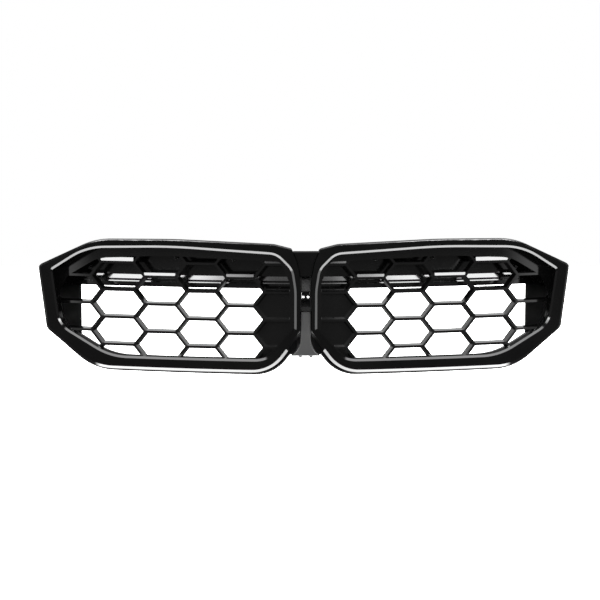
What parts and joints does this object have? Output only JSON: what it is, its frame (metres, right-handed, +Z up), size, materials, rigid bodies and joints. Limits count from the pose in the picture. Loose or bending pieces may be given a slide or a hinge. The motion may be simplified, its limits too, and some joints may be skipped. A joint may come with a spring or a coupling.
{
  "type": "front grille",
  "caption": "Gloss black front grille for a saloon car: swept twin openings with hexagon meshes in a ducted carrier, fixed by screws and expanding rivets.",
  "frame": {"origin": "mouth of the screw hole in the rear face of the centre post, on the symmetry plane", "axes": "+X to the right seen from in front, +Y rearwards and out of the screw hole, +Z up"},
  "size_m": [0.8324, 0.1799, 0.2099],
  "materials": {
    "surround_gloss": "high gloss black",
    "mesh_gloss": "gloss black",
    "baffle_satin": "satin black",
    "carrier_black": "fine grained black",
    "housing_satin": "satin black",
    "cap_black": "fine grained black",
    "trim_satin": "satin dark grey",
    "screw_steel": "zinc plated",
    "screw_black": "black coated",
    "rivet_nylon": "moulded black"
  },
  "bodies": {
    "grille": {"surround_right": "surround_gloss", "surround_left": "surround_gloss", "mesh_right": "mesh_gloss", "mesh_left": "mesh_gloss", "upper_baffle_right": "baffle_satin", "upper_baffle_left": "baffle_satin", "blanking_plate_right": "mesh_gloss", "blanking_plate_left": "mesh_gloss", "surround_screws_right": "screw_steel", "surround_screws_left": "screw_steel", "baffle_screws_right": "screw_black", "baffle_screws_left": "screw_black", "blanking_screws_right": "screw_steel", "blanking_screws_left": "screw_steel", "carrier_frame": "carrier_black", "nose_cover": "surround_gloss", "camera_housing": "housing_satin", "camera_cap": "cap_black", "centre_trim": "trim_satin", "nose_cover_screws": "screw_steel", "camera_housing_screws": "screw_steel", "centre_trim_screws": "screw_steel", "rivet_body_1": "rivet_nylon", "rivet_body_2": "rivet_nylon", "rivet_body_3": "rivet_nylon", "rivet_body_4": "rivet_nylon"},
    "pin_1": {"rivet_pin_1": "rivet_nylon"},
    "pin_2": {"rivet_pin_2": "rivet_nylon"},
    "pin_3": {"rivet_pin_3": "rivet_nylon"},
    "pin_4": {"rivet_pin_4": "rivet_nylon"}
  },
  "joints": [
    {"name": "rivet_pin_1_slide", "type": "slide", "parent": "grille", "child": "pin_1", "axis": [0, 0, 1], "range_m": [0, 0.005]},
    {"name": "rivet_pin_2_slide", "type": "slide", "parent": "grille", "child": "pin_2", "axis": [0, 0, 1], "range_m": [0, 0.005]},
    {"name": "rivet_pin_3_slide", "type": "slide", "parent": "grille", "child": "pin_3", "axis": [0, 0, 1], "range_m": [0, 0.005]},
    {"name": "rivet_pin_4_slide", "type": "slide", "parent": "grille", "child": "pin_4", "axis": [0, 0, 1], "range_m": [0, 0.005]}
  ]
}
